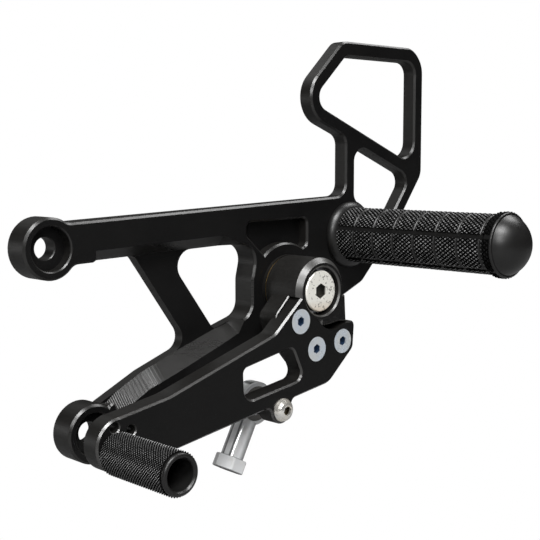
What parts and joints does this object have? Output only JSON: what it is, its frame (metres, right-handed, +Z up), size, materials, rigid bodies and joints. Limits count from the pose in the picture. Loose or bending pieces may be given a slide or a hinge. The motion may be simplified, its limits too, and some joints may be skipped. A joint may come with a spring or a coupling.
{
  "type": "motorcycle foot peg rearset",
  "caption": "Left-hand racing rearset: billet bracket with heel guard, fixed knurled foot peg, and a shift lever with toe peg and rod end.",
  "frame": {"origin": "axis of the upper front fixing bore, on the inboard face of the bracket", "axes": "+X to the rear of the motorcycle, along the bracket's length; -Y outboard, along the foot peg; +Z up"},
  "size_m": [0.2387, 0.1155, 0.1999],
  "materials": {
    "black_anodised": "satin black anodised",
    "peg_black": "knurled black anodised",
    "cap_black": "turned satin black",
    "zinc_steel": "bright zinc plate",
    "stainless": "machined stainless",
    "bronze": "bronze",
    "bearing_steel": "ground steel",
    "nylon": "nylon",
    "ptfe": "bearing liner",
    "rod_end_zinc": "zinc plated",
    "seal_rubber": "rubber seal"
  },
  "bodies": {
    "fixed_bracket": {"bracket": "black_anodised", "foot_peg_grip": "peg_black", "foot_peg_end_cap": "cap_black", "foot_peg_bolt": "zinc_steel", "foot_peg_dowel": "bearing_steel", "pivot_bolt": "stainless", "pivot_head_shim": "bearing_steel", "pivot_thrust_washer": "bronze", "bearing_spacer": "bearing_steel", "inboard_bearing_inner_race": "bearing_steel", "outboard_bearing_inner_race": "bearing_steel"},
    "shift_lever": {"shift_hub": "black_anodised", "shift_arm": "black_anodised", "shift_arm_screws": "zinc_steel", "toe_peg": "peg_black", "toe_peg_bolt": "zinc_steel", "linkage_bolt": "stainless", "linkage_spacer": "black_anodised", "linkage_nut": "zinc_steel", "linkage_nut_ring": "nylon", "inboard_bearing_outer_race": "bearing_steel", "inboard_bearing_cage": "bearing_steel", "inboard_bearing_balls": "bearing_steel", "inboard_bearing_shields": "seal_rubber", "outboard_bearing_outer_race": "bearing_steel", "outboard_bearing_cage": "bearing_steel", "outboard_bearing_balls": "bearing_steel", "outboard_bearing_shields": "seal_rubber"},
    "swivel_ball": {"rod_end_ball": "bearing_steel"},
    "rod_end": {"rod_end_liner": "ptfe", "rod_end_body": "rod_end_zinc"}
  },
  "joints": [
    {"name": "shift_pivot", "type": "hinge", "parent": "fixed_bracket", "child": "shift_lever", "pos_m": [0.1269, -0.022, -0.025], "axis": [0, 1, 0], "range_deg": [-10, 10]},
    {"name": "rod_end_swivel", "type": "hinge", "parent": "shift_lever", "child": "swivel_ball", "pos_m": [0.1016, -0.0156, -0.076], "axis": [0, 1, 0], "range_deg": [-75, 25]},
    {"name": "rod_end_tilt", "type": "hinge", "parent": "swivel_ball", "child": "rod_end", "pos_m": [0.1016, -0.0156, -0.076], "axis": [-0.8838, 0, 0.4679], "range_deg": [-8, 8]}
  ]
}
